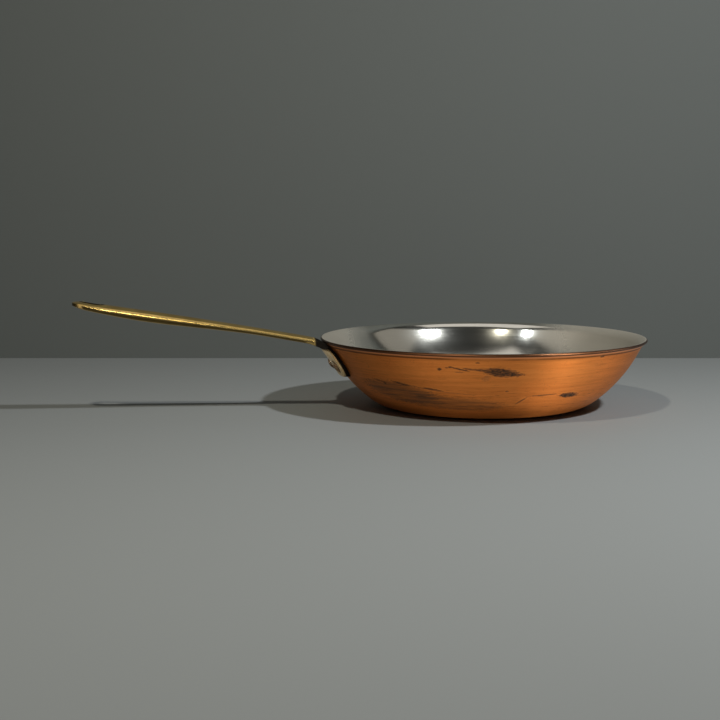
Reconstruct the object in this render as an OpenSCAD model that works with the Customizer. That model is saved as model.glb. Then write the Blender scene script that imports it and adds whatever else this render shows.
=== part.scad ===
// Copper frying pan with a bonded bright lining, a cast brass handle and two rivets.
// Millimetres. +Z is up, z = 0 is the surface the pan stands on, and the origin is the
// centre of the flat base. The handle points along -X.

/* [Pan] */
// Diameter over the flared rim
rim_d = 260; // [240:1:290]
// Height from the flat base to the top of the rim
pan_h = 55.5; // [53:0.5:62]
// Thickness of the outer copper
copper_t = 2; // [1.4:0.1:2.3]
// Thickness of the bright lining
lining_t = 0.4; // [0.3:0.1:0.6]
// Slope of the wall where the rounded base corner ends, from level
corner_a = 38; // [34:1:42]
// Slope of the wall just under the lip, from level
wall_a = 64; // [60:1:66]
// Radius of the belly of the wall, seen in section
wall_r = 115; // [105:1:120]
// Slope of the pouring lip, from level
lip_a = 30; // [20:1:40]
// Radius of the bend between wall and lip, on the copper side
lip_r = 12; // [9:1:14]

/* [Handle] */
// Distance from the pan's axis to the tip of the handle
tip_x = 322.8; // [305:0.1:340]
// Height of the top of the shaft, where it leaves the neck, above the rim
shaft_lift = 2.9; // [2:0.1:4.5]
// Climb of the shaft, from level
rise_a = 9.65; // [6:0.05:12]
// How far the shaft arches above a straight line at its middle
arch = 0.9; // [0:0.1:2]
// Thickness of the shaft at the neck
neck_t = 5.8; // [5:0.1:7]
// Thickness of the shaft where it swells to fill the palm
swell_t = 8.8; // [7:0.1:9.5]
// Distance from the pan's axis to the thickest point of the swell
swell_x = 268; // [250:1:280]
// Thickness of the shaft at the tip
tip_t = 5; // [4:0.1:6]
// Width of the shaft at the neck
neck_w = 15; // [12:0.5:18]
// Width across the hanging eye
eye_w = 21; // [18:0.5:24]
// Length of the hanging eye's slot
slot_l = 19; // [14:0.5:22]
// Width of the hanging eye's slot
slot_w = 11.5; // [8:0.5:13]
// Radius of the crown on top of the shaft
crown_r = 16; // [13:1:24]

/* [Mounting pad and rivets] */
// Width of the pad across the wall
pad_w = 47; // [44:1:54]
// Height of the pad
pad_h = 21; // [19:0.5:23]
// Thickness of the pad
pad_t = 4; // [3:0.1:5]
// Depth of the pad's middle below the rim
pad_drop = 18; // [17.5:0.5:20]
// Angle from the handle's centre plane to each rivet, about the pan's axis
rivet_az = 5.8; // [5:0.1:8]
// Diameter of a rivet's shank
rivet_d = 6; // [5:0.1:7]
// Diameter of a rivet's outer, domed head
dome_d = 10; // [9:0.1:11]
// Height of the domed head
dome_h = 1.7; // [1.2:0.1:2.5]
// Diameter of the flat head inside the pan
flat_d = 12; // [10:0.1:13]
// Thickness of the flat head
flat_h = 1.1; // [0.8:0.1:1.5]

/* [Hidden] */
$fn = 128;

// Gap left between pieces that touch
fit = 0.02;
// Gap under the flat rivet heads, which sit on a hollow curve
seat = 0.25;
// Depth of the rivets below the middle of the pad
rivet_drop = 0.5;
// Longer than any cut needs
far = 500;
// Points along each blended stretch of the handle, along the shaft's side and its plan
steps = 12;
side_steps = 24;
plan_steps = 16;

wall_t = copper_t + lining_t;
edge_r = wall_t / 2;
rim_r = rim_d / 2;

// The wall in section, on the copper side, worked out from the rim inwards and downwards
lip_end = [rim_r - edge_r + edge_r * sin(lip_a), pan_h - edge_r - edge_r * cos(lip_a)];
lip_start = lip_end - lip_r * [sin(wall_a) - sin(lip_a), cos(lip_a) - cos(wall_a)];
lip_c = lip_end + lip_r * [sin(lip_a), -cos(lip_a)];
wall_c = lip_start - wall_r * [sin(wall_a), -cos(wall_a)];
corner_top = wall_c + wall_r * [sin(corner_a), -cos(corner_a)];
corner_r = corner_top[1] / (1 - cos(corner_a));
base_r = corner_top[0] - corner_r * sin(corner_a);
corner_c = [base_r, corner_r];

// The rivets cross the wall square to it, at the slope that the wall has there
rivet_z = pan_h - pad_drop - rivet_drop;
rivet_a = acos((wall_c[1] - rivet_z) / wall_r);
rivet_r = wall_c[0] + wall_r * sin(rivet_a);

// Stations along the handle, as distances from the pan's axis: where the neck turns down,
// where the shaft starts inside the neck, and where the shaft leaves the neck
turn_x = rim_r + 6;
shaft_x = rim_r + 8;
neck_x = rim_r + 12;
neck_z = pan_h + shaft_lift;
// Length over which the shaft thickens into the swell
swell_l = 90;
// How strongly the shaft's widening is held back towards the tip; 1 is a straight taper
flare = 1.6;
// The hanging eye, and the metal left between its slot and the tip
eye_r = eye_w / 2;
eye_x = tip_x - eye_r;
eye_wall = 5.5;
slot_out = tip_x - eye_wall;
// Lines of the neck, out from the rim and down from it. The inner line turns under the lip
// at lip_turn and runs in to the wall at neck_in. The outer line leaves the pad at neck_root
// and is pulled towards neck_pull on its way up to the shaft.
lip_turn = [rim_r + 2.3, pan_h - 1.3];
lip_pull = [rim_r + 0.2, pan_h - 4.9];
neck_in = [rim_r - 6.5, pan_h - 7.1];
neck_low = [rim_r - 6.5, pan_h - 15];
neck_root = [rim_r - 3.5, pan_h - 13];
neck_pull = [rim_r + 1, pan_h - 6];
// How far the neck's top lies below the shaft's, and how far it falls before it turns
neck_dip = 0.8;
neck_fall = 1;
// Half widths of the neck where it meets the pad, and half way up
root_w = 14;
waist_w = 8;

// Points on an arc round c; a slope of 0 is its lowest point
function arc(c, r, a0, a1, n) = [for (i = [0:n])
    let (a = a0 + (a1 - a0) * i / n) c + r * [sin(a), -cos(a)]];
function turned(points) = [for (i = [len(points) - 1:-1:0]) points[i]];

// Lines at a depth d below the copper side: the belly, and the whole wall from the axis out
function belly_line(d) = arc(wall_c, wall_r - d, corner_a, wall_a, 12);
function wall_line(d) = concat([[0, d]], arc(corner_c, corner_r - d, 0, corner_a, 10), belly_line(d),
                               arc(lip_c, -lip_r - d, wall_a, lip_a, 6));
// The rounded edge of the rim, between two depths
function round_a(d) = acos(max(-1, min(1, 1 - d / edge_r)));
function rim_round(d0, d1) = arc(lip_end + edge_r * [-sin(lip_a), cos(lip_a)], edge_r,
                                 lip_a + round_a(d0), lip_a + round_a(d1), 6);

// A quadratic curve from p to r that leaves and arrives in the directions of q
function bend(p, q, r) = [for (i = [0:steps]) let (t = i / steps)
    (1 - t) * (1 - t) * p + 2 * t * (1 - t) * q + t * t * r];
function along(x) = (x - neck_x) / (tip_x - neck_x);
function top_z(x) = neck_z + (x - neck_x) * tan(rise_a) + 4 * arch * along(x) * (1 - along(x));
// The shaft thickens over swell_l towards the swell, and thins again towards the tip
function ease(t) = let (u = max(0, min(1, t))) u * u * (3 - 2 * u);
function thick(x) = x < swell_x
    ? neck_t + (swell_t - neck_t) * ease(1 - (swell_x - x) / swell_l)
    : swell_t - (swell_t - tip_t) * pow((x - swell_x) / (tip_x - swell_x), 2);
function half_w(x) = neck_w / 2 + (eye_w - neck_w) / 2 * pow(max(0, along(x)), flare);

// ---- outlines in section: x is the distance from the pan's axis, y is the height ----

// The belly of the wall, as a layer between two depths below the copper side
module belly(d0, d1) {
    polygon(concat(belly_line(d0), turned(belly_line(d1))));
}

// A layer of the whole pan, between two depths below the copper side. Its outer edge is
// its share of the round that finishes the rim.
module wall_layer(d0, d1) {
    polygon(concat(wall_line(d0), rim_round(d0, d1), turned(wall_line(d1))));
}

// ---- the pan ----

module copper_shell() {
    color("#b5703c") difference() {
        rotate_extrude() wall_layer(0, copper_t - fit / 2);
        rivet_holes();
    }
}

module steel_lining() {
    color("#bdb8aa") difference() {
        rotate_extrude() wall_layer(copper_t + fit / 2, wall_t);
        rivet_holes();
    }
}

// ---- the handle, drawn along +X and turned to -X ----

// The shaft from the side
module shaft_side() {
    xs = [for (i = [0:side_steps]) shaft_x + (tip_x - shaft_x) * i / side_steps];
    polygon(concat([for (x = xs) [x, top_z(x) - thick(x)]], turned([for (x = xs) [x, top_z(x)]])));
}

// The shaft from above, with its round end and the slot to hang it by
module shaft_plan() {
    xs = [for (i = [0:plan_steps]) shaft_x + (eye_x - shaft_x) * i / plan_steps];
    slot_r = slot_w / 2;
    difference() {
        union() {
            polygon(concat([for (x = xs) [x, -half_w(x)]], turned([for (x = xs) [x, half_w(x)]])));
            translate([eye_x, 0]) circle(eye_r);
        }
        translate([slot_out - slot_r, 0]) circle(slot_r);
        translate([slot_out - slot_l + slot_r, 0]) circle(slot_r);
        translate([slot_out - slot_l + slot_r, -slot_r]) square([slot_l - slot_w, slot_w]);
    }
}

module shaft() {
    intersection() {
        rotate([90, 0, 0]) linear_extrude(eye_w + 2, center = true) shaft_side();
        linear_extrude(far) shaft_plan();
        translate([neck_x, 0, neck_z + arch - crown_r])
            rotate([0, 90 - rise_a, 0])
            cylinder(r = crown_r, h = far, center = true);
    }
}

// The neck from the side: it drops from the shaft and passes close under the lip
module neck_side() {
    high = neck_z - neck_dip;
    polygon(concat(
        bend([neck_x, high], [turn_x, high - neck_fall], lip_turn),
        bend(lip_turn, lip_pull, neck_in),
        [neck_low],
        bend(neck_root, neck_pull, [neck_x, neck_z - neck_t])));
}

// The neck from above: it spreads from the shaft's width towards the pad
module neck_plan() {
    out = bend([rim_r - 8, root_w], [rim_r + 1, waist_w], [neck_x + 1, half_w(neck_x)]);
    polygon(concat(out, [for (i = [steps:-1:0]) [out[i][0], -out[i][1]]]));
}

module neck() {
    intersection() {
        rotate([90, 0, 0]) linear_extrude(pad_w, center = true) neck_side();
        linear_extrude(far) neck_plan();
    }
}

// The pad's outline, seen along the handle: two round ends and a straight middle
module pad_outline() {
    end_r = pad_h / 2;
    for (side = [-1, 1]) translate([side * (pad_w / 2 - end_r), 0]) circle(end_r);
    square([pad_w - pad_h, pad_h], center = true);
}

module pad() {
    intersection() {
        rotate_extrude() belly(-pad_t, -fit);
        translate([0, 0, pan_h - pad_drop]) rotate([90, 0, 90]) linear_extrude(far) pad_outline();
    }
}

module handle() {
    color("#c9a24b") difference() {
        rotate([0, 0, 180]) union() {
            shaft();
            difference() {
                neck();
                rotate_extrude() wall_layer(-fit, wall_t);
            }
            pad();
        }
        rivet_holes();
    }
}

// ---- the rivets ----

// Places a piece on the wall with +Z pointing out of it, square to the wall
module on_wall(az) {
    rotate([0, 0, az]) translate([-rivet_r, 0, rivet_z]) rotate([0, 180 + rivet_a, 0]) children();
}

module rivet_holes() {
    for (az = [-rivet_az, rivet_az]) on_wall(az)
        cylinder(d = rivet_d + 2 * fit, h = 4 * (pad_t + wall_t), center = true);
}

module rivet(az) {
    dome_r = (dome_d * dome_d / 4 + dome_h * dome_h) / (2 * dome_h);
    color("#a8643a") on_wall(az) {
        translate([0, 0, -wall_t - seat]) cylinder(d = rivet_d, h = wall_t + seat + pad_t + fit);
        translate([0, 0, -wall_t - seat - flat_h]) cylinder(d = flat_d, h = flat_h);
        intersection() {
            translate([0, 0, pad_t + fit]) cylinder(d = dome_d, h = dome_h);
            translate([0, 0, pad_t + fit + dome_h - dome_r]) sphere(dome_r);
        }
    }
}

module rivet_near() {
    rivet(rivet_az);
}

module rivet_far() {
    rivet(-rivet_az);
}

copper_shell();
steel_lining();
handle();
rivet_near();
rivet_far();
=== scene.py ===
# %% [markdown]
# This pan is five pieces of metal. A copper body is spun on a lathe over a thin bright
# lining, a brass handle is cast in one piece with its mounting pad, and two copper rivets
# hold the pad to the wall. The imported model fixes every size, so it is loaded first and
# its boxes give the driving dimensions of all that follows. Everything is in metres.

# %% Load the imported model
from math import acos, cos, pi, radians, sin, sqrt, tan

import bmesh
import bpy
from mathutils import Matrix, Vector


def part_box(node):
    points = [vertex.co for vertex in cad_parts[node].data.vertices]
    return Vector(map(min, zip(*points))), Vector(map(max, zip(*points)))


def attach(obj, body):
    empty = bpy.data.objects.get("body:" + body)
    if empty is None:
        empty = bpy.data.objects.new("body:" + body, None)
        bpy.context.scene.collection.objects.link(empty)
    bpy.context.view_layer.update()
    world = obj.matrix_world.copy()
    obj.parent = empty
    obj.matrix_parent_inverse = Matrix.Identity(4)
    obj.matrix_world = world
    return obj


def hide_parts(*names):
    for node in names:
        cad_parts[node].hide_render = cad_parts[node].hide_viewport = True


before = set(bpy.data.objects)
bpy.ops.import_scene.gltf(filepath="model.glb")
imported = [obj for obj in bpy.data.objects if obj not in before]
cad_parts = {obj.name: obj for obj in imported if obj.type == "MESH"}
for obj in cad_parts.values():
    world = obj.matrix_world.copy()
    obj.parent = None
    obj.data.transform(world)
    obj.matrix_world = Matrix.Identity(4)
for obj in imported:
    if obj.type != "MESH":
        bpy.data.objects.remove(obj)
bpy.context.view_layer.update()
MM = 0.001
print("pieces to model:", sorted(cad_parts))

# %% [markdown]
# The camera comes next, because each finish is judged from where it stands. A long lens
# from a little above the rim keeps the rim's ellipse flat, as the eye sees a pan on a
# table from the other side of a kitchen. It is turned a few degrees off the handle's side.

# %% Camera
def add_camera(place, turn, tilt, lens):
    """A camera at place, turned clockwise from +Y and tilted down, both in degrees."""
    data = bpy.data.cameras.new("camera")
    data.lens = lens
    camera = bpy.data.objects.new("camera", data)
    camera.location = place
    camera.rotation_euler = (radians(90 - tilt), 0, radians(-turn))
    bpy.context.scene.collection.objects.link(camera)
    bpy.context.scene.camera = camera
    return camera


VIEW_TURN = 10.5
camera = add_camera(place=(-0.3103, -1.1344, 0.1734), turn=VIEW_TURN, tilt=6.67, lens=73.4)
print("camera stands", round(camera.location.length, 2), "m from the pan")

# %% [markdown]
# A mesh helper, used by every piece. It closes the seams that a spin leaves, turns the
# faces outwards and gives smooth shading, which is what turned and polished metal needs.

# %% From a bmesh to a piece
def make_piece(name, bm, merge=1e-6):
    """Turns a bmesh into an object of that name, closed and with its faces outwards."""
    bmesh.ops.remove_doubles(bm, verts=bm.verts, dist=merge)
    bmesh.ops.recalc_face_normals(bm, faces=bm.faces)
    mesh = bpy.data.meshes.new(name)
    bm.to_mesh(mesh)
    bm.free()
    mesh.shade_smooth()
    piece = bpy.data.objects.new(name, mesh)
    bpy.context.scene.collection.objects.link(piece)
    size = piece.dimensions / MM
    print(f"{name}: {len(mesh.polygons)} faces, {size.x:.1f} x {size.y:.1f} x {size.z:.1f} mm")
    return piece


# %% [markdown]
# The wall of the pan is one smooth curve in section: a flat base, a rounded corner, a
# long belly and a lip that turns out for pouring. Each stretch is an arc, so the section
# is worked out from the rim inwards, as a spinner's template would be, and each arc starts
# where the last one ends with the same slope. Slopes are measured from level.

# %% The section of the wall
pan_low, pan_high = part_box("copper_shell")
RIM_R = pan_high.y
PAN_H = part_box("steel_lining")[1].z
COPPER_T = 2.0 * MM
LINING_T = 0.4 * MM
WALL_T = COPPER_T + LINING_T
EDGE_R = WALL_T / 2
CORNER_SLOPE, WALL_SLOPE, LIP_SLOPE = radians(38), radians(64), radians(30)
BELLY_R, LIP_R = 115 * MM, 12 * MM


def out_along(slope):
    """The direction square to the wall where it has that slope, pointing out of the pan."""
    return Vector((sin(slope), 0, -cos(slope)))


lip_end = Vector((RIM_R - EDGE_R, 0, PAN_H - EDGE_R)) + EDGE_R * out_along(LIP_SLOPE)
lip_centre = lip_end + LIP_R * out_along(LIP_SLOPE)
lip_start = lip_centre - LIP_R * out_along(WALL_SLOPE)
belly_centre = lip_start - BELLY_R * out_along(WALL_SLOPE)
corner_top = belly_centre + BELLY_R * out_along(CORNER_SLOPE)
CORNER_R = corner_top.z / (1 - cos(CORNER_SLOPE))
BASE_R = corner_top.x - CORNER_R * sin(CORNER_SLOPE)
corner_centre = Vector((BASE_R, 0, CORNER_R))
edge_centre = lip_end - EDGE_R * out_along(LIP_SLOPE)
print(f"flat base {2 * BASE_R / MM:.0f} mm across, corner radius {CORNER_R / MM:.1f} mm")


def wall_radius(z, out=0.0):
    """Distance from the axis to the belly at height z, or to a layer that far outside it."""
    return belly_centre.x + sqrt((BELLY_R + out) ** 2 - (belly_centre.z - z) ** 2)


# %% [markdown]
# A layer of the wall, copper or lining, is drawn as a closed line in section and spun
# round the axis. The line itself is made by spinning single vertices about the centres of
# the arcs. That way the section has no list of points, and its smoothness is one number.

# %% Drawing a line and turning it
TURN_STEPS = 192
AXIS = Vector((0, 0, 1))
ACROSS = Vector((0, -1, 0))


def start_line(bm, x, z):
    return bm.verts.new((x, 0, z))


def draw_straight(bm, tip, x, z, steps=1):
    """Carries a line on from the vertex tip, straight to (x, z)."""
    step = (Vector((x, 0, z)) - tip.co) / steps
    for _ in range(steps):
        made = bmesh.ops.extrude_vert_indiv(bm, verts=[tip])
        tip = made["verts"][0]
        bmesh.ops.translate(bm, verts=[tip], vec=step)
    return tip


def draw_arc(bm, tip, centre, angle, steps):
    """Carries a line on from the vertex tip, round the centre by an angle in radians."""
    made = bmesh.ops.spin(bm, geom=[tip], cent=centre, axis=ACROSS, angle=angle, steps=steps)
    return made["geom_last"][0]


def turn_round(bm, steps=TURN_STEPS):
    """Turns the drawn line once round the pan's axis."""
    bmesh.ops.spin(bm, geom=bm.verts[:] + bm.edges[:], cent=(0, 0, 0), axis=AXIS,
                   angle=2 * pi, steps=steps, use_merge=True)


# %% [markdown]
# Both layers follow the same template at different depths. The copper takes the outer
# part of the rounded rim and the lining takes the rest, as it shows on the real rim as a
# thin bright line above the copper.

# %% The two layers of the pan
def round_angle(depth):
    """How far round the rim's rounded edge a layer at that depth starts."""
    return acos(max(-1.0, min(1.0, 1 - depth / EDGE_R)))


def make_layer(name, outer, inner):
    """One layer of the wall, between two depths below the copper's outside."""
    bm = bmesh.new()
    rings = 9
    tip = start_line(bm, 0, outer)
    tip = draw_straight(bm, tip, BASE_R, outer, rings)
    tip = draw_arc(bm, tip, corner_centre, CORNER_SLOPE, 14)
    tip = draw_arc(bm, tip, belly_centre, WALL_SLOPE - CORNER_SLOPE, 26)
    tip = draw_arc(bm, tip, lip_centre, LIP_SLOPE - WALL_SLOPE, 10)
    rim = edge_centre + EDGE_R * out_along(LIP_SLOPE + round_angle(outer))
    tip = draw_straight(bm, tip, rim.x, rim.z)
    tip = draw_arc(bm, tip, edge_centre, round_angle(inner) - round_angle(outer), 10)
    inside = lip_centre - (LIP_R + inner) * out_along(LIP_SLOPE)
    tip = draw_straight(bm, tip, inside.x, inside.z)
    tip = draw_arc(bm, tip, lip_centre, WALL_SLOPE - LIP_SLOPE, 10)
    tip = draw_arc(bm, tip, belly_centre, CORNER_SLOPE - WALL_SLOPE, 26)
    tip = draw_arc(bm, tip, corner_centre, -CORNER_SLOPE, 14)
    draw_straight(bm, tip, 0, inner, rings)
    turn_round(bm)
    return make_piece(name, bm)


SEAM = 0.01 * MM
copper = make_layer("copper_body", 0, COPPER_T - SEAM)
lining = make_layer("bright_lining", COPPER_T + SEAM, WALL_T)

# %% [markdown]
# The handle is a long bar with an eye at one end and a pad at the other, cast in one
# piece. It could be joined from a bar, a ring and a plate, but the joints would show.
# Instead it is a strip that is drawn flat as a grid and then bent to shape: the rows run
# from the foot of the pad, up the pad, over the neck and out along the shaft to the tip.
# First come the curves that say how high, how thick and how wide the bar is at each place.

# %% Curves of the handle
TIP_X = -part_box("handle")[0].x
NECK_X = RIM_R + 12 * MM
NECK_Z = PAN_H + 2.9 * MM
RISE = radians(9.65)
ARCH = 0.9 * MM
NECK_T, SWELL_T, TIP_T = 5.8 * MM, 8.8 * MM, 5.0 * MM
SWELL_X, SWELL_L = 268 * MM, 90 * MM
NECK_W, EYE_W = 15 * MM, 21 * MM
EYE_R = EYE_W / 2
EYE_X = TIP_X - EYE_R


def along(x):
    """How far out along the shaft x is, from 0 at the neck to 1 at the tip."""
    return (x - NECK_X) / (TIP_X - NECK_X)


def ease(t):
    t = max(0.0, min(1.0, t))
    return t * t * (3 - 2 * t)


def shaft_top(x):
    return NECK_Z + (x - NECK_X) * tan(RISE) + 4 * ARCH * along(x) * (1 - along(x))


def shaft_thick(x):
    if x < SWELL_X:
        return NECK_T + (SWELL_T - NECK_T) * ease(1 - (SWELL_X - x) / SWELL_L)
    return SWELL_T - (SWELL_T - TIP_T) * ((x - SWELL_X) / (TIP_X - SWELL_X)) ** 2


def shaft_half_width(x):
    return NECK_W / 2 + (EYE_W - NECK_W) / 2 * max(0.0, along(x)) ** 1.6


def curve(start, bend, end, t):
    """A point on a curve that leaves start towards bend and reaches end from it."""
    return (1 - t) ** 2 * start + 2 * t * (1 - t) * bend + t ** 2 * end


# %% [markdown]
# The strip has two sheets. The front sheet is the underside of the shaft and the outer
# face of the pad. The back sheet is the top of the shaft and the face that lies on the
# wall. A row is numbered s, a column t from -1 to 1 across the width. Across the shaft
# the top is half an ellipse and the underside is flatter, so a lamp draws one long line
# of light along the shoulder, as it does on a polished bar. In the eye the same section
# is measured from the eye's middle, so the tip is as round from the side as from above.

# %% Section of the shaft
PAD_W, PAD_H, PAD_T = 47 * MM, 21 * MM, 4 * MM
PAD_Z = PAN_H - 18 * MM
PAD_END_R = PAD_H / 2
WALL_GAP = 0.05 * MM
SHAFT_TOP, SHAFT_UNDER = 0.70, 0.22
TIP_TOP, TIP_UNDER = 0.36, 0.20


def edge_share(x, y):
    """How near a place in plan is to the side of the bar, from 0 in its middle to 1."""
    return min(1.0, Vector((max(0.0, x - EYE_X), y)).length / shaft_half_width(min(x, EYE_X)))


def shaft_point(front, x, y):
    """The point of a sheet that lies at (x, y) in plan."""
    thick, out = shaft_thick(x), edge_share(x, y)
    blunt = ease((x - EYE_X + EYE_R) / (2 * EYE_R))
    top_share = SHAFT_TOP + (TIP_TOP - SHAFT_TOP) * blunt
    under_share = SHAFT_UNDER + (TIP_UNDER - SHAFT_UNDER) * blunt
    top_fall = top_share * thick * (1 - sqrt(1 - out ** 2))
    under_rise = under_share * thick * (1 - (1 - out ** 3) ** (1 / 3))
    z = shaft_top(x) - (thick - under_rise if front else top_fall)
    return Vector((x, y, z))


# %% [markdown]
# The pad is a plate with two round ends that is wrapped round the wall. The neck leaves
# its top edge, hugs the underside of the lip and turns up into the shaft. Where the neck
# leaves the pad, a fillet makes the root thicker, because that is where a handle breaks.
# Round numbers of rows keep the eye exact: its slot is four rows and two more round its end.

# %% Where each point of the strip goes
PAD_ROWS, NECK_ROWS, SHAFT_ROWS, SLOT_ROWS, EYE_ROWS = 10, 8, 18, 4, 4
COLUMNS = 12
SLOT_SHARE = 4 / COLUMNS
SLOT_L, SLOT_W = 19 * MM, 11.5 * MM
SLOT_OUT = TIP_X - 5.5 * MM
NECK_START = PAD_ROWS
SHAFT_START = NECK_START + NECK_ROWS
SLOT_START = SHAFT_START + SHAFT_ROWS
EYE_START = SLOT_START + SLOT_ROWS
ROWS = EYE_START + EYE_ROWS
ROOT_W, ROOT_OUT = 14 * MM, 2 * MM
BEND_FRONT = Vector((133.5 * MM, 0, PAN_H - 5.6 * MM))
BEND_BACK = Vector((129.4 * MM, 0, PAN_H + 0.6 * MM))
NECK_HALF_BEND = 7.6 * MM


def pad_point(front, s, t):
    turn = pi * s / PAD_ROWS
    z = PAD_Z - PAD_END_R * cos(turn)
    y = t * (PAD_W / 2 - PAD_END_R + PAD_END_R * sin(turn))
    root = ROOT_OUT * ease((z - PAD_Z) / PAD_END_R) * max(0.0, 1 - (y / ROOT_W) ** 2)
    r = wall_radius(z, PAD_T if front else WALL_GAP)
    return Vector((sqrt(r * r - y * y) + (root if front else 0), y, z))


def neck_point(front, s, t):
    u = s / NECK_ROWS
    foot = pad_point(front, PAD_ROWS, 0)
    head = shaft_point(front, NECK_X, 0)
    middle = curve(foot, BEND_FRONT if front else BEND_BACK, head, u)
    half = curve(PAD_W / 2 - PAD_END_R, NECK_HALF_BEND, shaft_half_width(NECK_X), u)
    y = half * ((1 - ease(u)) * t + ease(u) * sin(t * pi / 2))
    wrap = (pad_point(front, PAD_ROWS, t).x - foot.x) * (1 - ease(1.6 * u))
    side = shaft_point(front, NECK_X, shaft_half_width(NECK_X) * sin(t * pi / 2))
    crown = (side.z - head.z) * ease(1.6 * u - 0.6)
    return Vector((middle.x + wrap, y, middle.z + crown))


def strip_point(front, s, t):
    """Where the point of a sheet at row s and column t goes, with the handle along +X."""
    if s <= NECK_START:
        return pad_point(front, s, t)
    if s <= SHAFT_START:
        return neck_point(front, s - NECK_START, t)
    across = sin(t * pi / 2)
    if s <= SLOT_START:
        x = NECK_X + (SLOT_OUT - SLOT_L - NECK_X) * (s - SHAFT_START) / SHAFT_ROWS
    else:
        x = SLOT_OUT - SLOT_L + (EYE_X - SLOT_OUT + SLOT_L) * min(1, (s - SLOT_START) / SLOT_ROWS)
    y = across * shaft_half_width(x)
    if s > EYE_START:
        out = (s - EYE_START) / EYE_ROWS
        x = EYE_X + EYE_R * out * sqrt(1 - across ** 2 / 2)
        y = EYE_R * across * sqrt(1 - out ** 2 / 2)
    if SLOT_START <= s <= EYE_START + EYE_ROWS / 2 and abs(t) < SLOT_SHARE + 0.01:
        x, y = round_slot(x, y)
    return shaft_point(front, x, y)


def round_slot(x, y):
    """Moves a point on the rim of the slot to the nearest point of its outline in plan."""
    r = SLOT_W / 2
    middle = Vector((max(SLOT_OUT - SLOT_L + r, min(SLOT_OUT - r, x)), 0))
    return middle + (Vector((x, y)) - middle).normalized() * r


# %% [markdown]
# The slot is cut by deleting the middle faces of its rows. Extruding the flat strip then
# makes the second sheet and all the sides in one step, and each point is sent to its
# place. A bevel rounds the pad's edges and the rim of the slot, where a caster files them,
# and a subdivision surface makes the rest as smooth as polishing does.

# %% The handle
CAST_EDGE = 0.7 * MM


def make_handle(name):
    bm = bmesh.new()
    bmesh.ops.create_grid(bm, x_segments=ROWS, y_segments=COLUMNS, size=1)
    row = bm.verts.layers.float.new("row")
    column = bm.verts.layers.float.new("column")
    for v in bm.verts:
        v[row], v[column] = round((v.co.x + 1) / 2 * ROWS), v.co.y
    slot = []
    for f in bm.faces:
        s, t = (sum(v[layer] for v in f.verts) / 4 for layer in (row, column))
        if SLOT_START < s < EYE_START + EYE_ROWS / 2 and abs(t) < SLOT_SHARE:
            slot.append(f)
    bmesh.ops.delete(bm, geom=slot, context="FACES")
    made = bmesh.ops.extrude_face_region(bm, geom=bm.faces[:], use_keep_orig=True)
    back = {v for v in made["geom"] if isinstance(v, bmesh.types.BMVert)}
    for v in bm.verts:
        v.co = strip_point(v not in back, v[row], v[column])
    bmesh.ops.recalc_face_normals(bm, faces=bm.faces)
    sharp = [e for e in bm.edges if e.calc_face_angle(0) > radians(50)]
    bmesh.ops.bevel(bm, geom=sharp, offset=CAST_EDGE, offset_type="OFFSET", affect="EDGES",
                    segments=2, profile=0.5, material=-1, clamp_overlap=True)
    bmesh.ops.rotate(bm, verts=bm.verts, cent=(0, 0, 0), matrix=Matrix.Rotation(pi, 3, "Z"))
    print("open edges left on the handle:", sum(e.is_boundary for e in bm.edges))
    piece = make_piece(name, bm)
    smooth = piece.modifiers.new("smooth", "SUBSURF")
    smooth.levels = smooth.render_levels = 3
    return piece


handle = make_handle("brass_handle")

# %% [markdown]
# Each rivet is a pin with a flat head inside the pan and a domed head outside, where it
# was hammered over. A line is turned for it too, and the finished rivet is laid square to
# the wall. The marks of the hammer are left to its finish, as they are shallow.

# %% The rivets
RIVET_TURN = radians(5.8)
RIVET_Z = PAD_Z - 0.5 * MM
SHANK_R, DOME_R, DOME_H = 3.0 * MM, 5.0 * MM, 1.7 * MM
FLAT_R, FLAT_H = 6.0 * MM, 1.1 * MM
SEAT = 0.25 * MM
FLAT_EDGE = 0.4 * MM
PAD_FACE = PAD_T + 0.02 * MM
rivet_slope = acos((belly_centre.z - RIVET_Z) / BELLY_R)


def on_wall(turn):
    """Carries a piece drawn round +Z to a rivet's place, with +Z out of the wall."""
    lean = Matrix.Rotation(pi + rivet_slope, 4, "Y")
    out = Matrix.Translation((-wall_radius(RIVET_Z), 0, RIVET_Z))
    return Matrix.Rotation(turn, 4, "Z") @ out @ lean


def make_rivet(name, turn):
    bm = bmesh.new()
    sphere_r = (DOME_R ** 2 + DOME_H ** 2) / (2 * DOME_H)
    dome_centre = Vector((0, 0, PAD_FACE + DOME_H - sphere_r))
    flat_low = -WALL_T - SEAT - FLAT_H
    tip = start_line(bm, 0, flat_low)
    tip = draw_straight(bm, tip, FLAT_R - FLAT_EDGE, flat_low, 4)
    tip = draw_arc(bm, tip, Vector((FLAT_R - FLAT_EDGE, 0, flat_low + FLAT_EDGE)), pi / 2, 4)
    tip = draw_straight(bm, tip, FLAT_R, -WALL_T - SEAT)
    tip = draw_straight(bm, tip, SHANK_R, -WALL_T - SEAT, 2)
    tip = draw_straight(bm, tip, SHANK_R, PAD_FACE, 3)
    tip = draw_straight(bm, tip, DOME_R - 0.05 * MM, PAD_FACE, 2)
    tip = draw_straight(bm, tip, DOME_R, PAD_FACE + 0.25 * MM)
    low = DOME_R - 0.35 * MM
    rim = Vector((low, 0, dome_centre.z + sqrt(sphere_r ** 2 - low ** 2)))
    tip = draw_straight(bm, tip, rim.x, rim.z)
    tip = draw_arc(bm, tip, dome_centre, acos((rim.z - dome_centre.z) / sphere_r), 8)
    bmesh.ops.translate(bm, verts=[tip], vec=(-tip.co.x, 0, 0))
    turn_round(bm, 48)
    bmesh.ops.transform(bm, matrix=on_wall(turn), verts=bm.verts)
    return make_piece(name, bm)


near_rivet = make_rivet("rivet_near_side", RIVET_TURN)
far_rivet = make_rivet("rivet_far_side", -RIVET_TURN)

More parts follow.
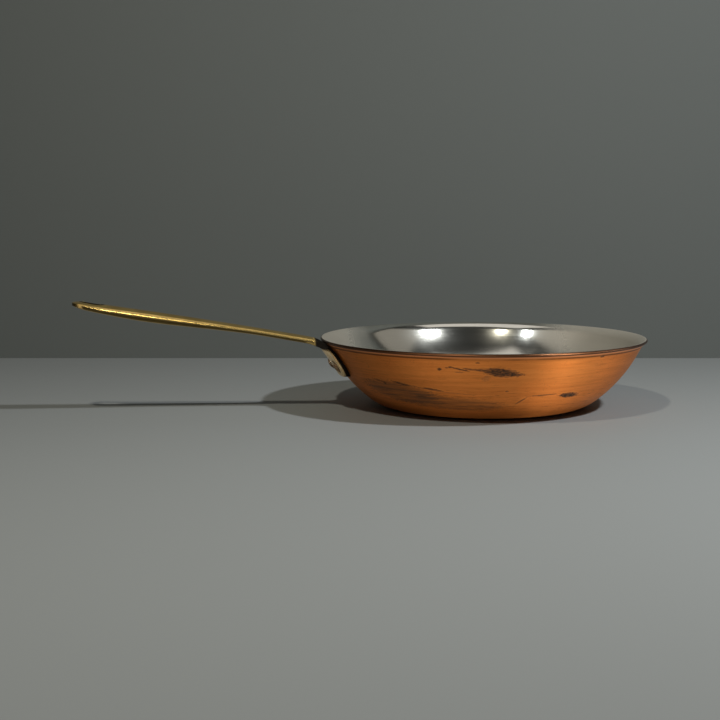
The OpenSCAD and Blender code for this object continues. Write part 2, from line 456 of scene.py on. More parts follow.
# %% [markdown]
# The finishes share a few effects, so each effect is a node group with named inputs and
# outputs. A small helper keeps the wiring short: it adds a node, sets its options, and
# joins or sets its sockets. A second one does arithmetic on sockets.

# %% Wiring helpers
def add_node(tree, kind, options=None, **inputs):
    """Adds a shader node. A socket given as an input is joined to it, a value is set."""
    node = tree.nodes.new("ShaderNode" + kind)
    for option, value in (options or {}).items():
        setattr(node, option, value)
    for name, value in inputs.items():
        socket = node.inputs[int(name[1:]) if name[0] == "_" else name.replace("_", " ")]
        if isinstance(value, bpy.types.NodeSocket):
            tree.links.new(value, socket)
        else:
            socket.default_value = value
    return node


def calc(tree, operation, a, b=0.0, clamp=False):
    """One step of arithmetic on sockets or numbers."""
    options = {"operation": operation, "use_clamp": clamp}
    return add_node(tree, "Math", options, _0=a, _1=b).outputs[0]


def vector_step(tree, operation, **inputs):
    """A node that does one step of arithmetic on vectors."""
    return add_node(tree, "VectorMath", {"operation": operation}, **inputs)


def blend_colour(tree, share, a, b):
    """Colour a where share is 0, colour b where it is 1."""
    mix = add_node(tree, "Mix", {"data_type": "RGBA"}, Factor=share)
    for socket, value in ((mix.inputs[6], a), (mix.inputs[7], b)):
        if isinstance(value, bpy.types.NodeSocket):
            tree.links.new(value, socket)
        else:
            socket.default_value = (*value, 1)
    return mix.outputs[2]


def between(tree, value, low, high, at_low=0.0, at_high=1.0):
    """Carries a range of values over to another range, smoothly and no further."""
    return add_node(tree, "MapRange", {"interpolation_type": "SMOOTHSTEP"}, Value=value, From_Min=low,
                    From_Max=high, To_Min=at_low, To_Max=at_high).outputs["Result"]


def start_group(name, inputs, outputs):
    """A node group with float inputs, given as name: default, and float outputs."""
    tree = bpy.data.node_groups.new(name, "ShaderNodeTree")
    for label, default in inputs.items():
        socket = tree.interface.new_socket(label, in_out="INPUT", socket_type="NodeSocketFloat")
        socket.default_value = default
    for label in outputs:
        tree.interface.new_socket(label, in_out="OUTPUT", socket_type="NodeSocketFloat")
    return tree, tree.nodes.new("NodeGroupInput").outputs, tree.nodes.new("NodeGroupOutput").inputs


def use_group(tree, group, **inputs):
    """Places a group in a material with its own values, and returns its outputs."""
    return add_node(tree, "Group", {"node_tree": group}, **inputs).outputs


# %% [markdown]
# Everything on a spun pan runs round its axis: the marks of the spinning tool, the strokes
# of the polishing wheel and the streaks that cleaning leaves. So a place on the pan is
# given by the direction from the axis, stretched by Sweep, and by the way up the wall,
# stretched by Rise. Noise read there has strokes that run round. The direction is used
# rather than the angle, because an angle jumps where it comes round to its start.

# %% Group: strokes that run round the axis
def strokes_group():
    tree, given, result = start_group(
        "strokes_round_the_axis",
        {"Sweep": 3, "Rise": 1500, "Detail": 3, "Low": 0.35, "High": 0.65}, ["Value"])
    place = add_node(tree, "TexCoord").outputs["Object"]
    flat = vector_step(tree, "MULTIPLY", _0=place, _1=(1, 1, 0)).outputs[0]
    from_axis = vector_step(tree, "LENGTH", _0=flat).outputs["Value"]
    direction = vector_step(tree, "NORMALIZE", _0=flat).outputs[0]
    swept = vector_step(tree, "SCALE", _0=direction, Scale=given["Sweep"]).outputs[0]
    height = add_node(tree, "SeparateXYZ", Vector=place).outputs["Z"]
    up_wall = calc(tree, "MULTIPLY", calc(tree, "ADD", from_axis, height), given["Rise"])
    lift = add_node(tree, "CombineXYZ", Z=up_wall).outputs[0]
    there = vector_step(tree, "ADD", _0=swept, _1=lift).outputs[0]
    noise = add_node(tree, "TexNoise", Vector=there, Scale=1.0, Detail=given["Detail"], Roughness=0.6)
    tree.links.new(between(tree, noise.outputs["Fac"], given["Low"], given["High"]), result["Value"])
    return tree


strokes = strokes_group()
print("strokes round the axis:", len(strokes.nodes), "nodes")

# %% [markdown]
# Scorch marks, stains and patches of painted shade sit at known places, so each is placed
# by its angle round the pan and its height. A mark is an ellipse on the wall. The angle,
# the height and a noise that makes its edge wander are worked out once and handed to the
# group, so they are not worked out again for each mark.

# %% Group: one mark on the wall
def mark_group():
    tree, given, result = start_group(
        "placed_mark", {"Angle": 0, "Level": 0, "Wander": 0, "Turn": -90, "Height": 0.04, "Half Turn": 5,
                        "Half Height": 0.003, "Slant": 0}, ["Mask"])
    off = calc(tree, "SUBTRACT", given["Angle"], given["Turn"])
    middle = calc(tree, "ADD", given["Height"], calc(tree, "MULTIPLY", off, given["Slant"]))
    along_mark = calc(tree, "DIVIDE", off, given["Half Turn"])
    across_mark = calc(tree, "DIVIDE", calc(tree, "SUBTRACT", given["Level"], middle), given["Half Height"])
    square = calc(tree, "ADD", calc(tree, "MULTIPLY", along_mark, along_mark),
                  calc(tree, "MULTIPLY", across_mark, across_mark))
    reach = calc(tree, "ADD", calc(tree, "SQRT", square), given["Wander"])
    tree.links.new(between(tree, reach, 1.4, 1.0), result["Mask"])
    return tree


mark = mark_group()
print("placed mark:", len(mark.nodes), "nodes")

# %% [markdown]
# Handling polishes the edges of cast metal and leaves its hollows dark. Pointiness tells
# how sharply the surface bends at a vertex, so it finds both. Noise breaks them up.

# %% Group: bright edges and dark hollows
def edges_group():
    tree, given, result = start_group(
        "edge_wear", {"Edge": 0.53, "Hollow": 0.48, "Break Up": 0.02, "Grain": 300}, ["Edges", "Hollows"])
    point = add_node(tree, "NewGeometry").outputs["Pointiness"]
    place = add_node(tree, "TexCoord").outputs["Object"]
    noise = add_node(tree, "TexNoise", Vector=place, Scale=given["Grain"], Detail=3).outputs["Fac"]
    shift = calc(tree, "MULTIPLY", calc(tree, "SUBTRACT", noise, 0.5), given["Break Up"])
    seen = calc(tree, "ADD", point, shift)
    full_edge = calc(tree, "ADD", given["Edge"], 0.04)
    tree.links.new(between(tree, seen, given["Edge"], full_edge), result["Edges"])
    full_hollow = calc(tree, "SUBTRACT", given["Hollow"], 0.05)
    tree.links.new(between(tree, seen, given["Hollow"], full_hollow), result["Hollows"])
    return tree


edge_wear = edges_group()
print("edge wear:", len(edge_wear.nodes), "nodes")

# %% [markdown]
# Fine scratches and specks lie at every angle. A scratch is a thin band where a stretched
# noise crosses its middle value. Three turned layers are laid over each other.

# %% Group: fine scratches
def scratches_group():
    tree, given, result = start_group(
        "fine_scratches", {"Scale": 60, "Width": 0.012, "Amount": 0.5}, ["Mask"])
    place = add_node(tree, "TexCoord").outputs["Object"]
    total = None
    for number, turn in enumerate((0.4, 1.5, 2.6)):
        turned = add_node(tree, "Mapping", Vector=place, Location=(number, number * 2.0, 0),
                          Rotation=(turn, turn * 0.7, turn), Scale=(1, 0.12, 1)).outputs[0]
        noise = add_node(tree, "TexNoise", Vector=turned, Scale=given["Scale"], Detail=1).outputs["Fac"]
        off = calc(tree, "ABSOLUTE", calc(tree, "SUBTRACT", noise, 0.5))
        line = between(tree, off, given["Width"], 0.0)
        wide = calc(tree, "MULTIPLY", given["Scale"], 0.7)
        patch = add_node(tree, "TexNoise", Vector=turned, Scale=wide).outputs["Fac"]
        line = calc(tree, "MULTIPLY", line, between(tree, patch, 0.5, 0.62))
        total = line if total is None else calc(tree, "MAXIMUM", total, line)
    tree.links.new(calc(tree, "MULTIPLY", total, given["Amount"]), result["Mask"])
    return tree


scratches = scratches_group()
print("fine scratches:", len(scratches.nodes), "nodes")

# %% [markdown]
# Copper that has been cooked on is never one colour. Clean metal is salmon, a thin skin
# of oxide makes it brown, and heat leaves nearly black scorches that scouring breaks up
# into streaks. The scorches are placed one by one, the skin and the streaks are noise. The
# grooves of spinning draw a reflection out across themselves, so the finish is anisotropic.

# %% Finish: worn spun copper
def start_material(name):
    material = bpy.data.materials.new(name)
    material.use_nodes = True
    return material, material.node_tree, material.node_tree.nodes["Principled BSDF"]


# Turn, height in mm, half of its width in degrees, half of its height in mm, slant in mm
# a degree, strength
SCORCHES = [
    (-98.8, 41.2, 5.0, 2.7, -0.20, 1.0),
    (-103.9, 36.6, 1.3, 1.8, 0.30, 0.5),
    (-94.0, 39.4, 2.6, 1.0, 0.05, 0.9),
    (-105.8, 43.0, 2.6, 0.8, -0.15, 0.9),
    (-109.6, 43.7, 1.9, 0.6, -0.22, 0.9),
    (-113.0, 43.5, 2.8, 0.5, -0.45, 0.9),
    (-113.1, 41.2, 1.4, 0.4, 0.00, 0.6),
    (-116.2, 44.9, 0.6, 0.6, 0.00, 0.9),
    (-117.5, 44.4, 0.5, 0.4, 0.00, 0.8),
    (-120.0, 43.0, 0.6, 0.9, 0.00, 0.9),
    (-106.8, 48.7, 0.6, 0.5, 0.00, 0.8),
    (-95.9, 26.2, 0.5, 0.5, 0.00, 0.8),
    (-145.7, 28.2, 0.6, 0.6, 0.00, 0.9),
    (-148.0, 29.9, 3.0, 0.5, -0.33, 0.8),
    (-137.8, 29.4, 3.4, 0.7, -0.37, 0.9),
    (-131.0, 27.7, 7.0, 0.3, -0.30, 0.6),
    (-124.5, 26.3, 2.8, 0.7, -0.26, 0.9),
    (-116.0, 24.0, 6.0, 0.3, -0.15, 0.5),
    (-130.6, 19.8, 2.2, 0.6, 0.00, 0.6),
    (-124.7, 14.3, 2.8, 0.6, 0.00, 0.6),
    (-67.8, 20.7, 3.9, 1.6, -0.10, 1.0),
    (-80.8, 22.0, 5.2, 0.4, 0.06, 0.8),
    (-89.3, 17.7, 1.6, 0.6, 1.35, 0.9),
    (-60.8, 50.2, 0.8, 0.5, 0.00, 0.9),
    (41.0, 38.0, 6.0, 2.4, 0.10, 1.0),
    (32.0, 40.5, 5.0, 0.6, 0.12, 0.8),
    (49.0, 35.0, 2.0, 1.6, 0.00, 0.6),
    (66.0, 24.0, 8.0, 0.8, 0.05, 0.8),
    (128.0, 43.0, 5.0, 0.7, -0.10, 0.8),
    (136.0, 30.0, 3.0, 1.8, 0.20, 0.8),
    (-20.0, 33.0, 7.0, 0.5, 0.10, 0.7),
    (-12.0, 41.0, 1.2, 1.0, 0.00, 0.8),
]
# Wider and thinner stains: the same six numbers. The two low at the front left are partly
# painted shade, standing for the shadowed floor that the wall reflects there.
STAINS_AND_SHADE = [
    (-140.0, 21.5, 15.0, 6.8, -0.20, 0.85),
    (-120.0, 15.5, 20.0, 4.6, -0.08, 0.60),
    (20.0, 17.0, 15.0, 5.0, 0.05, 0.55),
    (95.0, 42.0, 14.0, 4.0, 0.00, 0.35),
]
RIM_EDGE_Z = lip_end.z


def add_marks(tree, marks, where):
    """Lays marks over each other. where holds the angle, the height and the noise."""
    angle, level, wander = where
    total = None
    for turn, height, half_turn, half_height, slant, strength in marks:
        mask = use_group(tree, mark, Angle=angle, Level=level, Wander=wander, Turn=turn, Height=height * MM,
                         Half_Turn=half_turn, Half_Height=half_height * MM, Slant=slant * MM)["Mask"]
        mask = calc(tree, "MULTIPLY", mask, strength)
        total = mask if total is None else calc(tree, "MAXIMUM", total, mask)
    return total


def place_on_wall(tree, place, ragged):
    """The angle in degrees and the height of a place, and a noise to break up marks."""
    parts = add_node(tree, "SeparateXYZ", Vector=place).outputs
    angle = calc(tree, "MULTIPLY", calc(tree, "ARCTAN2", parts["Y"], parts["X"]), 180 / pi)
    grain = vector_step(tree, "MULTIPLY", _0=place, _1=(420, 420, 1900)).outputs[0]
    noise = add_node(tree, "TexNoise", Vector=grain, Scale=1, Detail=6, Roughness=0.85).outputs["Fac"]
    return angle, parts["Z"], calc(tree, "MULTIPLY", calc(tree, "SUBTRACT", noise, 0.5), ragged)


def make_copper():
    material, tree, shader = start_material("worn_copper")
    place = add_node(tree, "TexCoord").outputs["Object"]
    fine = use_group(tree, strokes, Sweep=5.0, Rise=2600, Detail=4, Low=0.30, High=0.70)["Value"]
    broad = use_group(tree, strokes, Sweep=2.2, Rise=260, Detail=4, Low=0.38, High=0.66)["Value"]
    streaks = use_group(tree, strokes, Sweep=9.0, Rise=900, Detail=5, Low=0.56, High=0.68)["Value"]
    cloud = add_node(tree, "TexNoise", Vector=place, Scale=14, Detail=5, Roughness=0.6).outputs["Fac"]
    skin = between(tree, cloud, 0.42, 0.68)
    level = add_node(tree, "SeparateXYZ", Vector=place).outputs["Z"]
    low_down = between(tree, level, 34 * MM, 14 * MM)
    colour = blend_colour(tree, calc(tree, "MULTIPLY", skin, 0.5), (0.88, 0.31, 0.072), (0.62, 0.20, 0.042))
    colour = blend_colour(tree, calc(tree, "MULTIPLY", broad, 0.35), colour, (0.52, 0.155, 0.030))
    colour = blend_colour(tree, calc(tree, "MULTIPLY", fine, 0.25), colour, (0.42, 0.120, 0.025))
    streaks = calc(tree, "MULTIPLY", streaks, between(tree, low_down, 0, 1, 0.25, 0.85))
    colour = blend_colour(tree, streaks, colour, (0.16, 0.055, 0.018))
    # Darker towards the base.
    near_base = between(tree, level, 20 * MM, 3 * MM, 0, 0.6)
    colour = blend_colour(tree, near_base, colour, (0.36, 0.115, 0.028))
    mottle = vector_step(tree, "MULTIPLY", _0=place, _1=(700, 700, 1500)).outputs[0]
    mottle = add_node(tree, "TexNoise", Vector=mottle, Scale=1, Detail=3, Roughness=0.7).outputs["Fac"]
    mottle = between(tree, mottle, 0.40, 0.50, 0.74, 1.0)
    burnt = add_marks(tree, SCORCHES, place_on_wall(tree, place, 3.6))
    burnt = calc(tree, "MULTIPLY", burnt, mottle)
    # Stains; the two at the front left are partly painted shade of the reflected floor shadow.
    stain_and_shade = add_marks(tree, STAINS_AND_SHADE, place_on_wall(tree, place, 2.4))
    stain_and_shade = calc(tree, "MULTIPLY", stain_and_shade, between(tree, broad, 0, 1, 0.55, 1.0))
    specks = add_node(tree, "TexVoronoi", Vector=place, Scale=520).outputs["Distance"]
    speck_patch = between(tree, cloud, 0.50, 0.60)
    specks = calc(tree, "MULTIPLY", between(tree, specks, 0.17, 0.09), speck_patch)
    burnt = calc(tree, "MAXIMUM", burnt, calc(tree, "MULTIPLY", specks, 0.7))
    line = use_group(tree, scratches, Scale=160, Width=0.006, Amount=0.25)["Mask"]
    rim = between(tree, level, RIM_EDGE_Z - 0.3 * MM, RIM_EDGE_Z)
    colour = blend_colour(tree, line, colour, (0.24, 0.08, 0.025))
    # Just under the lip a light band is painted, a painted reflection of the lit floor, and below it a dark
    # band of painted shade under the lip.
    shade_under_lip = calc(tree, "MULTIPLY", between(tree, level, PAN_H - 5.4 * MM, PAN_H - 4.6 * MM),
                     between(tree, level, PAN_H - 3.2 * MM, PAN_H - 4.2 * MM))
    shade_under_lip = calc(tree, "MULTIPLY", shade_under_lip, between(tree, cloud, 0.38, 0.56, 0.15, 0.8))
    lit_lip_band = between(tree, level, PAN_H - 4.2 * MM, PAN_H - 3.0 * MM, 0, 0.45)
    colour = blend_colour(tree, lit_lip_band, colour, (0.88, 0.44, 0.24))
    colour = blend_colour(tree, shade_under_lip, colour, (0.10, 0.042, 0.020))
    colour = blend_colour(tree, stain_and_shade, colour, (0.070, 0.042, 0.028))
    # The rounded rim edge is painted dark and glossy: partly patina, partly a painted dark reflection of the
    # room above.
    colour = blend_colour(tree, calc(tree, "MULTIPLY", rim, 0.92), colour, (0.085, 0.038, 0.020))
    colour = blend_colour(tree, burnt, colour, (0.022, 0.012, 0.007))
    tree.links.new(colour, shader.inputs["Base Color"])
    rough = between(tree, skin, 0, 1, 0.46, 0.54)
    rough = calc(tree, "ADD", rough, calc(tree, "MULTIPLY", fine, 0.08))
    rough = calc(tree, "ADD", rough, calc(tree, "MULTIPLY", burnt, 0.25))
    rough = calc(tree, "SUBTRACT", rough, calc(tree, "MULTIPLY", rim, 0.12), clamp=True)
    tree.links.new(rough, shader.inputs["Roughness"])
    spoilt = calc(tree, "MAXIMUM", burnt, calc(tree, "MULTIPLY", stain_and_shade, 0.5))
    tree.links.new(between(tree, spoilt, 0, 1, 1.0, 0.2), shader.inputs["Metallic"])
    tree.links.new(between(tree, spoilt, 0, 1, 0.5, 0.2), shader.inputs["Specular IOR Level"])
    shader.inputs["Anisotropic"].default_value = 0.68
    shader.inputs["Anisotropic Rotation"].default_value = 0.25
    round_axis = add_node(tree, "Tangent", {"direction_type": "RADIAL", "axis": "Z"}).outputs[0]
    tree.links.new(round_axis, shader.inputs["Tangent"])
    dents = add_node(tree, "TexNoise", Vector=place, Scale=22, Detail=1).outputs["Fac"]
    height = calc(tree, "ADD", calc(tree, "MULTIPLY", fine, 0.012), calc(tree, "MULTIPLY", dents, 0.5))
    height = calc(tree, "SUBTRACT", height, calc(tree, "MULTIPLY", line, 0.02))
    height = calc(tree, "SUBTRACT", height, calc(tree, "MULTIPLY", specks, 0.03))
    bump = add_node(tree, "Bump", Height=height, Strength=0.35, Distance=0.001)
    tree.links.new(bump.outputs["Normal"], shader.inputs["Normal"])
    return material


worn_copper = make_copper()
print(worn_copper.name, "has", len(worn_copper.node_tree.nodes), "nodes")

# %% [markdown]
# The lining is polished steel. It is close to a mirror, so what shows are faint rings
# from the lathe, hairline scratches from utensils and a slight haze in patches. Over the
# side towards the handle and the side away from it, a beige patch is painted as a painted
# reflection of the room, and the steel there is duller.

# %% Finish: polished lining
def make_lining():
    material, tree, shader = start_material("polished_lining")
    rings = use_group(tree, strokes, Sweep=0.8, Rise=1500, Detail=3, Low=0.3, High=0.7)["Value"]
    place = add_node(tree, "TexCoord").outputs["Object"]
    cloud = add_node(tree, "TexNoise", Vector=place, Scale=18, Detail=4).outputs["Fac"]
    haze = between(tree, cloud, 0.4, 0.7)
    line = use_group(tree, scratches, Scale=240, Width=0.010, Amount=0.4)["Mask"]
    colour = blend_colour(tree, calc(tree, "MULTIPLY", haze, 0.5), (0.76, 0.735, 0.67), (0.64, 0.615, 0.55))
    colour = blend_colour(tree, calc(tree, "MULTIPLY", rings, 0.15), colour, (0.40, 0.40, 0.38))
    parts = add_node(tree, "SeparateXYZ", Vector=place).outputs
    ragged = calc(tree, "MULTIPLY", haze, 12 * MM)
    ragged_x = calc(tree, "ADD", calc(tree, "ABSOLUTE", parts["X"]), ragged)
    off_base = between(tree, parts["Z"], 8 * MM, 26 * MM)
    # A beige, duller patch at the ends towards and away from the handle: a painted reflection of the room.
    painted_end_reflection = calc(tree, "MULTIPLY", between(tree, ragged_x, 64 * MM, 112 * MM), off_base)
    colour = blend_colour(tree, painted_end_reflection, colour, (0.66, 0.60, 0.51))
    tree.links.new(colour, shader.inputs["Base Color"])
    rough = calc(tree, "ADD", between(tree, haze, 0, 1, 0.11, 0.15), calc(tree, "MULTIPLY", painted_end_reflection, 0.22))
    rough = calc(tree, "ADD", rough, calc(tree, "MULTIPLY", rings, 0.03))
    rough = calc(tree, "ADD", rough, calc(tree, "MULTIPLY", line, 0.08))
    tree.links.new(rough, shader.inputs["Roughness"])
    tree.links.new(between(tree, painted_end_reflection, 0, 1, 1.0, 0.55), shader.inputs["Metallic"])
    height = calc(tree, "SUBTRACT", calc(tree, "MULTIPLY", rings, 0.01), calc(tree, "MULTIPLY", line, 0.006))
    bump = add_node(tree, "Bump", Height=height, Strength=0.3, Distance=0.001)
    tree.links.new(bump.outputs["Normal"], shader.inputs["Normal"])
    return material


polished_lining = make_lining()
print(polished_lining.name, "has", len(polished_lining.node_tree.nodes), "nodes")

# %% [markdown]
# The handle's brass is polished where hands and cloths reach. Round the foot of the pad,
# against the wall, at the root of the neck and about the rivets it is nearly black: partly
# dirt where hands don't reach, partly painted shade in those gaps. The face of the pad is
# paler and less like a mirror, and the flanks of the shaft are painted dark, a painted
# reflection of the dark room.

# %% Finish: handled brass
def near_point(tree, place, point, reach, full):
    """A mask that is 1 within full of a point and fades to 0 at reach."""
    away = vector_step(tree, "DISTANCE", _0=place, _1=point).outputs["Value"]
    return between(tree, away, reach, full)


def outside_belly(tree, place):
    """How far a place is outside the belly of the wall."""
    parts = add_node(tree, "SeparateXYZ", Vector=place).outputs
    flat = add_node(tree, "CombineXYZ", X=parts["X"], Y=parts["Y"]).outputs[0]
    from_axis = vector_step(tree, "LENGTH", _0=flat).outputs["Value"]
    section = add_node(tree, "CombineXYZ", X=from_axis, Z=parts["Z"]).outputs[0]
    away = vector_step(tree, "DISTANCE", _0=section, _1=belly_centre).outputs["Value"]
    return calc(tree, "SUBTRACT", away, BELLY_R)


def make_brass():
    material, tree, shader = start_material("handled_brass")
    place = add_node(tree, "TexCoord").outputs["Object"]
    stretched = add_node(tree, "Mapping", Vector=place, Scale=(0.06, 1, 1)).outputs[0]
    grain = add_node(tree, "TexNoise", Vector=stretched, Scale=1400, Detail=2).outputs["Fac"]
    cloud = add_node(tree, "TexNoise", Vector=place, Scale=55, Detail=4).outputs["Fac"]
    dull = between(tree, cloud, 0.42, 0.70)
    wear = use_group(tree, edge_wear, Edge=0.54, Hollow=0.47, Grain=400)
    line = use_group(tree, scratches, Scale=90, Width=0.012, Amount=0.6)["Mask"]
    colour = blend_colour(tree, calc(tree, "MULTIPLY", dull, 0.6), (0.72, 0.50, 0.17), (0.42, 0.28, 0.09))
    colour = blend_colour(tree, calc(tree, "MULTIPLY", grain, 0.25), colour, (0.36, 0.24, 0.08))
    colour = blend_colour(tree, calc(tree, "MULTIPLY", wear["Edges"], 0.5), colour, (0.86, 0.64, 0.26))
    outside = outside_belly(tree, place)
    parts = add_node(tree, "SeparateXYZ", Vector=place).outputs
    on_pad = calc(tree, "MULTIPLY", between(tree, outside, 6.5 * MM, 5 * MM), 0.55)
    # Near-black against the wall, at the root of the neck and round the rivets: partly dirt and tarnish,
    # partly painted shade in those gaps.
    shadowed = between(tree, outside, 3.3 * MM, 2.4 * MM)
    low_enough = between(tree, parts["Z"], PAN_H + 1 * MM, PAN_H)
    grime_and_shade = calc(tree, "MULTIPLY", shadowed, low_enough)
    neck_side = between(tree, parts["X"], 3 * MM - NECK_X, 6 * MM - NECK_X)
    above_pad = between(tree, parts["Z"], 46.5 * MM, 49 * MM)
    grime_and_shade = calc(tree, "MAXIMUM", grime_and_shade, calc(tree, "MULTIPLY", neck_side, above_pad))
    for turn in (RIVET_TURN, -RIVET_TURN):
        centre = on_wall(turn) @ Vector((0, 0, PAD_FACE))
        ring = near_point(tree, place, centre, 6.6 * MM, 5.2 * MM)
        grime_and_shade = calc(tree, "MAXIMUM", grime_and_shade, calc(tree, "MULTIPLY", ring, 0.9))
    grime_and_shade = calc(tree, "MAXIMUM", grime_and_shade, calc(tree, "MULTIPLY", wear["Hollows"], 0.6))
    # The shaft's flanks, where the surface faces sideways, are painted dark: a painted reflection of the
    # dark room.
    normal = add_node(tree, "TexCoord").outputs["Normal"]
    facing_up = add_node(tree, "SeparateXYZ", Vector=normal).outputs["Z"]
    not_under = between(tree, facing_up, -0.85, -0.55)
    painted_dark_flank = calc(tree, "MULTIPLY", between(tree, facing_up, 0.35, 0.05), not_under)
    on_shaft = between(tree, parts["X"], -NECK_X, -NECK_X - 4 * MM)
    painted_dark_flank = calc(tree, "MULTIPLY", painted_dark_flank, on_shaft)
    colour = blend_colour(tree, calc(tree, "MULTIPLY", painted_dark_flank, 0.85), colour, (0.055, 0.034, 0.010))
    colour = blend_colour(tree, on_pad, colour, (0.82, 0.63, 0.38))
    colour = blend_colour(tree, grime_and_shade, colour, (0.008, 0.006, 0.004))
    tree.links.new(colour, shader.inputs["Base Color"])
    rough = between(tree, dull, 0, 1, 0.20, 0.24)
    rough = calc(tree, "ADD", rough, calc(tree, "MULTIPLY", grime_and_shade, 0.35))
    rough = calc(tree, "ADD", rough, calc(tree, "MULTIPLY", line, 0.04), clamp=True)
    tree.links.new(rough, shader.inputs["Roughness"])
    bare = calc(tree, "SUBTRACT", 1, calc(tree, "MAXIMUM", grime_and_shade, on_pad))
    tree.links.new(calc(tree, "MULTIPLY", bare, 0.9), shader.inputs["Metallic"])
    tree.links.new(between(tree, grime_and_shade, 0, 1, 0.5, 0.06), shader.inputs["Specular IOR Level"])
    height = calc(tree, "ADD", calc(tree, "MULTIPLY", grain, 0.003), calc(tree, "MULTIPLY", cloud, 0.008))
    height = calc(tree, "SUBTRACT", height, calc(tree, "MULTIPLY", line, 0.004))
    bump = add_node(tree, "Bump", Height=height, Strength=0.3, Distance=0.001)
    tree.links.new(bump.outputs["Normal"], shader.inputs["Normal"])
    return material


handled_brass = make_brass()
print(handled_brass.name, "has", len(handled_brass.node_tree.nodes), "nodes")

# %% [markdown]
# A rivet is copper too, but it has been hammered cold and then left to darken. The marks
# of the hammer are the cells of a Voronoi pattern, about two millimetres across.

# %% Finish: hammered rivet
def make_rivet_copper():
    material, tree, shader = start_material("hammered_copper")
    place = add_node(tree, "TexCoord").outputs["Object"]
    cells = add_node(tree, "TexVoronoi", {"feature": "SMOOTH_F1"}, Vector=place, Scale=520, Smoothness=0.6)
    cloud = add_node(tree, "TexNoise", Vector=place, Scale=260, Detail=4).outputs["Fac"]
    dark = between(tree, cloud, 0.40, 0.62)
    wear = use_group(tree, edge_wear, Edge=0.52, Hollow=0.49, Grain=600)
    colour = blend_colour(tree, dark, (0.72, 0.50, 0.30), (0.38, 0.22, 0.12))
    colour = blend_colour(tree, calc(tree, "MULTIPLY", wear["Hollows"], 0.9), colour, (0.03, 0.02, 0.012))
    tree.links.new(colour, shader.inputs["Base Color"])
    tree.links.new(between(tree, dark, 0, 1, 0.28, 0.45), shader.inputs["Roughness"])
    shader.inputs["Metallic"].default_value = 1
    bump = add_node(tree, "Bump", Height=cells.outputs["Distance"], Strength=0.5, Distance=0.0004)
    tree.links.new(bump.outputs["Normal"], shader.inputs["Normal"])
    return material


hammered_copper = make_rivet_copper()
print(hammered_copper.name, "has", len(hammered_copper.node_tree.nodes), "nodes")

# %% [markdown]
# The pan stands on a plain pale floor before a plain backdrop. Both are clear from behind,
# so neither hides the pan from a camera below or at the back.

# %% Stage
def add_plane(name, width, depth, place, turn, colour, rough):
    bm = bmesh.new()
    bmesh.ops.create_grid(bm, x_segments=1, y_segments=1, size=0.5)
    bmesh.ops.scale(bm, verts=bm.verts, vec=(width, depth, 1))
    bmesh.ops.transform(bm, verts=bm.verts, matrix=Matrix.Translation(place) @ turn)
    mesh = bpy.data.meshes.new(name)
    bm.to_mesh(mesh)
    bm.free()
    plane = bpy.data.objects.new(name, mesh)
    bpy.context.scene.collection.objects.link(plane)
    material, tree, shader = start_material(name)
    shader.inputs["Base Color"].default_value = (*colour, 1)
    shader.inputs["Roughness"].default_value = rough
    mesh.materials.append(material)
    clear = add_node(tree, "BsdfTransparent")
    seen_from_behind = add_node(tree, "NewGeometry").outputs["Backfacing"]
    choice = add_node(tree, "MixShader", _0=seen_from_behind, _1=shader.outputs[0], _2=clear.outputs[0])
    tree.links.new(choice.outputs[0], tree.nodes["Material Output"].inputs["Surface"])


BACK = 0.328
FLOOR_DROP = 0.2 * MM
facing_turn = radians(VIEW_TURN)
add_plane("floor", 8, 8, (0, 0, -FLOOR_DROP), Matrix(), (0.46, 0.47, 0.47), 0.6)
facing = Matrix.Rotation(-facing_turn, 4, "Z") @ Matrix.Rotation(radians(90), 4, "X")
behind = (BACK * sin(facing_turn), BACK * cos(facing_turn), 1.2)
add_plane("backdrop", 5, 2.4, behind, facing, (0.20, 0.21, 0.20), 0.8)

world = bpy.data.worlds.new("room")
world.use_nodes = True
world.node_tree.nodes["Background"].inputs["Color"].default_value = (0.026, 0.027, 0.026, 1)
bpy.context.scene.world = world


# %% [markdown]
# Two small softboxes light everything and cast the two shadows. The others light only the
# pieces that are named with them, and their light does not bounce, so the floor close to
# the pan stays dark.

# %% Lamps
def add_softbox(name, place, aim, width, height, watts, colour, only_on=()):
    data = bpy.data.lights.new(name, "AREA")
    data.shape = "RECTANGLE"
    data.size, data.size_y = width, height
    data.energy = watts
    data.color = colour
    lamp = bpy.data.objects.new(name, data)
    lamp.location = place
    lamp.rotation_euler = (Vector(aim) - Vector(place)).to_track_quat("-Z", "Y").to_euler()
    bpy.context.scene.collection.objects.link(lamp)
    if only_on:
        lit = bpy.data.collections.new("lit_by_" + name)
        for piece in only_on:
            lit.objects.link(piece)
        lamp.light_linking.receiver_collection = lit
        data.cycles.max_bounces = 0
    return lamp


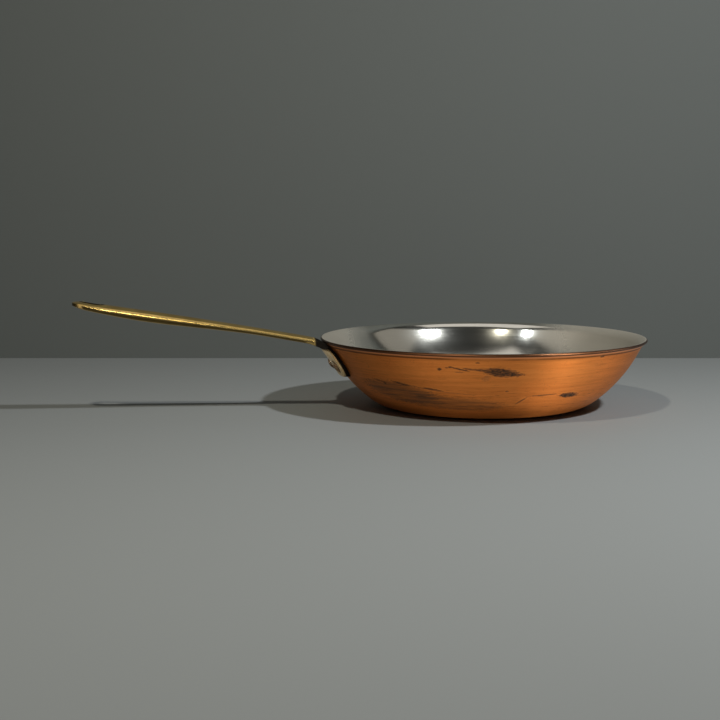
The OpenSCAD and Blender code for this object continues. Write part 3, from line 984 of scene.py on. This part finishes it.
# Name, place, aim, width, height, watts, colour and the pieces it lights: none named is all
SOFTBOXES = [
    ("right_lamp", (0.441, -0.533, 0.788), (0, 0, 0.02), 0.05, 0.05, 4.6, (0.93, 0.98, 1), []),
    ("left_lamp", (-0.444, -0.641, 0.926), (0, 0, 0.02), 0.05, 0.05, 2.7, (1, 0.97, 0.82), []),
    ("side_lamp", (-0.66, -0.35, 0.93), (0, 0, 0.02), 0.05, 0.05, 0.6, (0.9, 0.97, 1), [lining]),
    ("shoulder_lamp", (-0.13, -0.61, 0.945), (-0.25, 0, 0.07), 0.14, 0.14, 1.6, (1, 0.95, 0.8),
     [handle]),
    ("pad_lamp", (-0.95, -0.5, 0.16), (-0.125, 0, 0.04), 0.5, 0.25, 3, (1, 0.96, 0.9),
     [handle, near_rivet, far_rivet]),
    ("front_box", (1.0, -1.12, 0.20), (0.03, -0.1, 0.03), 0.4, 0.34, 16, (1, 0.97, 0.9), [copper]),
    ("front_left_box", (-0.86, -1.23, 0.20), (0, 0, 0.03), 1.8, 0.34, 10, (1, 0.93, 0.8), [copper]),
    ("side_box", (1.48, -0.2, 0.20), (0, 0, 0.03), 0.9, 0.34, 5.5, (0.96, 0.98, 1), [copper]),
    ("left_panel", (-1.3, -0.1, 0.9), (0, 0, 0.03), 1.3, 1.1, 1.6, (1, 0.95, 0.84), [lining]),
    ("right_panel", (1.3, -0.1, 0.9), (0, 0, 0.03), 1.3, 1.1, 1.1, (1, 0.95, 0.84), [lining]),
    ("ceiling", (0, 0.1, 1.6), (0, 0, 0), 1.4, 1.1, 3.4, (1, 0.97, 0.92), [lining, handle]),
]
for softbox in SOFTBOXES:
    add_softbox(*softbox)
print(len(SOFTBOXES), "softboxes")

# %% [markdown]
# Last, each piece gets its finish and takes the place of its part in the imported model.

# %% Riding, finishes and the table
PIECES = [
    (copper, worn_copper, "copper_shell", "copper"),
    (lining, polished_lining, "steel_lining", "lining"),
    (handle, handled_brass, "handle", "brass"),
    (near_rivet, hammered_copper, "rivet_near", "rivet_copper"),
    (far_rivet, hammered_copper, "rivet_far", "rivet_copper"),
]
for piece, material, node, slot in PIECES:
    piece.data.materials.append(material)
    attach(piece, "root")
    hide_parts(node)
    print(piece.name, "takes the place of", node)

bpy.context.view_layer.update()

bpy.context.scene.view_settings.view_transform = "Standard"
